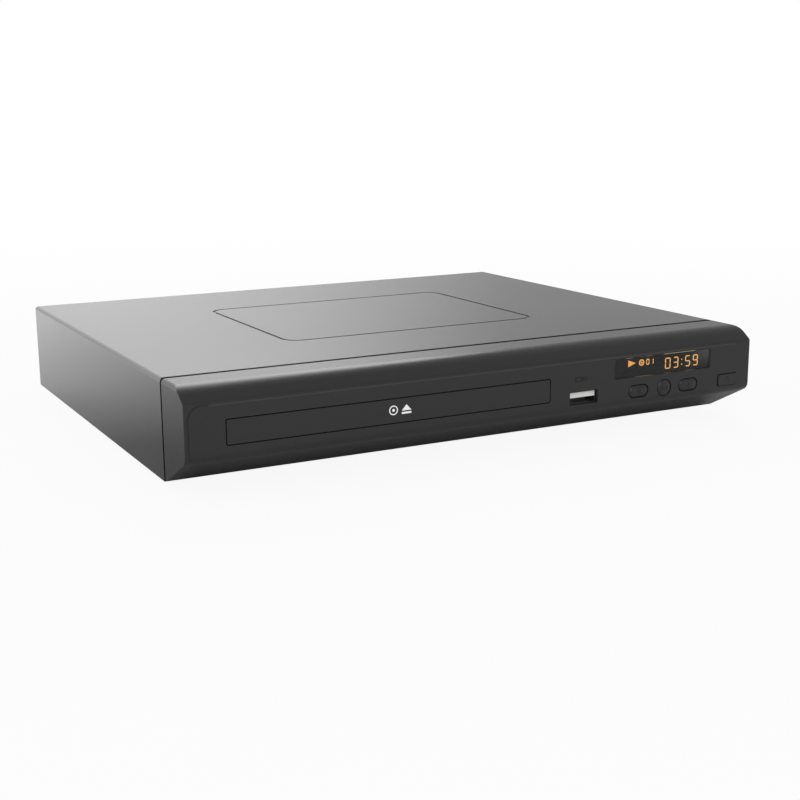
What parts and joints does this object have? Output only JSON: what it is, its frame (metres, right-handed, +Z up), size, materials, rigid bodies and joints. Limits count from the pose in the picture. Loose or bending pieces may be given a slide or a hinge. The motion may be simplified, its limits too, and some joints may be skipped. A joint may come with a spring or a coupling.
{
  "type": "disc player",
  "caption": "Slim disc player: folded steel cover, rolled plastic bezel, motor-driven tray loader with tilting traverse, display, buttons and rear jacks.",
  "frame": {"origin": "middle of the footprint, rear jacks included, on the plane that the rubber feet stand on", "axes": "+X to the right across the front, +Y to the back, +Z up"},
  "size_m": [0.25, 0.2244, 0.0403],
  "materials": {
    "painted_cover": "satin black powder coat",
    "zinc_steel": "zinc plated",
    "bezel_plastic": "fine spark-eroded texture",
    "black_rubber": "matte",
    "black_screw": "black oxide",
    "tinted_window": "polished, tinted",
    "button_plastic": "fine texture",
    "brown_board": "paper laminate",
    "dark_plastic": "moulded",
    "plated_steel": "nickel plated",
    "pale_plastic": "moulded",
    "pale_ribbon": "flat ribbon",
    "loader_plastic": "moulded",
    "tray_plastic": "moulded, satin",
    "natural_plastic": "natural acetal",
    "copper_windings": "varnished copper",
    "polished_rod": "ground and polished",
    "cast_alloy": "die cast",
    "lens_plastic": "moulded, clear lens",
    "zinc_screw": "zinc plated",
    "green_board": "solder mask",
    "nickel": "nickel plated",
    "yellow_plastic": "moulded",
    "white_plastic": "moulded",
    "red_plastic": "moulded",
    "ferrite": "sintered",
    "capacitor_sleeve": "shrunk sleeve",
    "brass_pins": "plated",
    "red_lead": "insulation"
  },
  "bodies": {
    "housing": {"top_cover": "painted_cover", "chassis_pan": "zinc_steel", "rear_panel": "painted_cover", "front_bezel": "bezel_plastic", "rubber_feet": "black_rubber", "rear_screws": "black_screw", "display_window": "tinted_window", "front_board": "brown_board", "display_module": "dark_plastic", "tact_switches": "dark_plastic", "usb_shell": "plated_steel", "usb_tongue": "pale_plastic", "ir_receiver": "dark_plastic", "front_ribbon": "pale_ribbon", "loader_frame": "loader_plastic", "clamp_bridge": "zinc_steel", "loading_motor": "plated_steel", "drive_belt": "black_rubber", "loader_screws": "zinc_screw", "main_board": "green_board", "main_chips": "dark_plastic", "rca_block": "dark_plastic", "rca_shells": "nickel", "rca_insert_yellow": "yellow_plastic", "rca_insert_white": "white_plastic", "rca_insert_red": "red_plastic", "hdmi_socket": "plated_steel", "power_board": "brown_board", "transformer": "ferrite", "capacitors": "capacitor_sleeve", "heat_sink": "cast_alloy", "ac_inlet": "dark_plastic", "inlet_pins": "brass_pins", "power_harness": "red_lead", "board_screws": "zinc_screw"},
    "tray": {"disc_tray": "tray_plastic", "tray_door": "bezel_plastic"},
    "loading_gear": {"loading_gear": "natural_plastic"},
    "pulley_gear": {"pulley_gear": "natural_plastic"},
    "motor_pulley": {"motor_pulley": "natural_plastic"},
    "cam": {"cam_slider": "natural_plastic"},
    "traverse": {"traverse_frame": "loader_plastic", "drive_base": "zinc_steel", "damper_grommets": "black_rubber", "spindle_motor": "copper_windings", "guide_rods": "polished_rod", "sled_motor": "plated_steel"},
    "turntable": {"turntable": "dark_plastic"},
    "clamper": {"clamper": "natural_plastic", "clamper_plate": "zinc_steel"},
    "pickup": {"pickup_sled": "cast_alloy"},
    "lens": {"lens_holder": "lens_plastic"},
    "lead_screw": {"lead_screw": "polished_rod"},
    "power_button": {"power_button": "button_plastic"},
    "stop_button": {"stop_button": "button_plastic"},
    "play_button": {"play_button": "button_plastic"},
    "eject_button": {"eject_button": "button_plastic"}
  },
  "joints": [
    {"name": "tray_slide", "type": "slide", "parent": "housing", "child": "tray", "axis": [0, -1, 0], "range_m": [0, 0.1356]},
    {"name": "loading_gear_spin", "type": "hinge", "parent": "housing", "child": "loading_gear", "pos_m": [0.0043, -0.085, 0.018], "axis": [0, 0, 1], "continuous": true},
    {"name": "pulley_gear_spin", "type": "hinge", "parent": "housing", "child": "pulley_gear", "pos_m": [-0.0157, -0.085, 0.0165], "axis": [0, 0, 1], "continuous": true},
    {"name": "motor_pulley_spin", "type": "hinge", "parent": "housing", "child": "motor_pulley", "pos_m": [-0.036, -0.077, 0.0161], "axis": [0, 0, 1], "continuous": true},
    {"name": "traverse_tilt", "type": "hinge", "parent": "housing", "child": "traverse", "pos_m": [-0.043, 0.05, 0.012], "axis": [1, 0, 0], "range_deg": [0, 3]},
    {"name": "cam_slide", "type": "slide", "parent": "housing", "child": "cam", "axis": [-1, 0, 0], "range_m": [0, 0.022]},
    {"name": "turntable_spin", "type": "hinge", "parent": "traverse", "child": "turntable", "pos_m": [-0.043, -0.04, 0.022], "axis": [0, 0, 1], "continuous": true},
    {"name": "clamper_spin", "type": "hinge", "parent": "housing", "child": "clamper", "pos_m": [-0.043, -0.04, 0.03], "axis": [0, 0, 1], "continuous": true},
    {"name": "pickup_slide", "type": "slide", "parent": "traverse", "child": "pickup", "axis": [0, 1, 0], "range_m": [0, 0.035]},
    {"name": "lead_screw_spin", "type": "hinge", "parent": "traverse", "child": "lead_screw", "pos_m": [-0.011, 0, 0.0152], "axis": [0, 1, 0], "continuous": true},
    {"name": "lens_focus", "type": "slide", "parent": "pickup", "child": "lens", "axis": [0, 0, 1], "range_m": [-0.0004, 0.0004], "stiffness_N_per_m": 60, "springref_m": 0.00006},
    {"name": "power_press", "type": "slide", "parent": "housing", "child": "power_button", "axis": [0, 1, 0], "range_m": [0, 0.0005], "stiffness_N_per_m": 600},
    {"name": "stop_press", "type": "slide", "parent": "housing", "child": "stop_button", "axis": [0, 1, 0], "range_m": [0, 0.0005], "stiffness_N_per_m": 600},
    {"name": "play_press", "type": "slide", "parent": "housing", "child": "play_button", "axis": [0, 1, 0], "range_m": [0, 0.0005], "stiffness_N_per_m": 600},
    {"name": "eject_press", "type": "slide", "parent": "housing", "child": "eject_button", "axis": [0, 1, 0], "range_m": [0, 0.0005], "stiffness_N_per_m": 600}
  ],
  "couplings": [
    {"joint": "loading_gear_spin", "follows": "tray_slide", "rad_per_m": -83.333},
    {"joint": "pulley_gear_spin", "follows": "tray_slide", "rad_per_m": 214.29},
    {"joint": "motor_pulley_spin", "follows": "tray_slide", "rad_per_m": 857.14},
    {"joint": "cam_slide", "follows": "traverse_tilt", "m_per_rad": 0.42017},
    {"joint": "clamper_spin", "follows": "turntable_spin", "ratio": 1},
    {"joint": "lead_screw_spin", "follows": "pickup_slide", "rad_per_m": 2094.4}
  ]
}
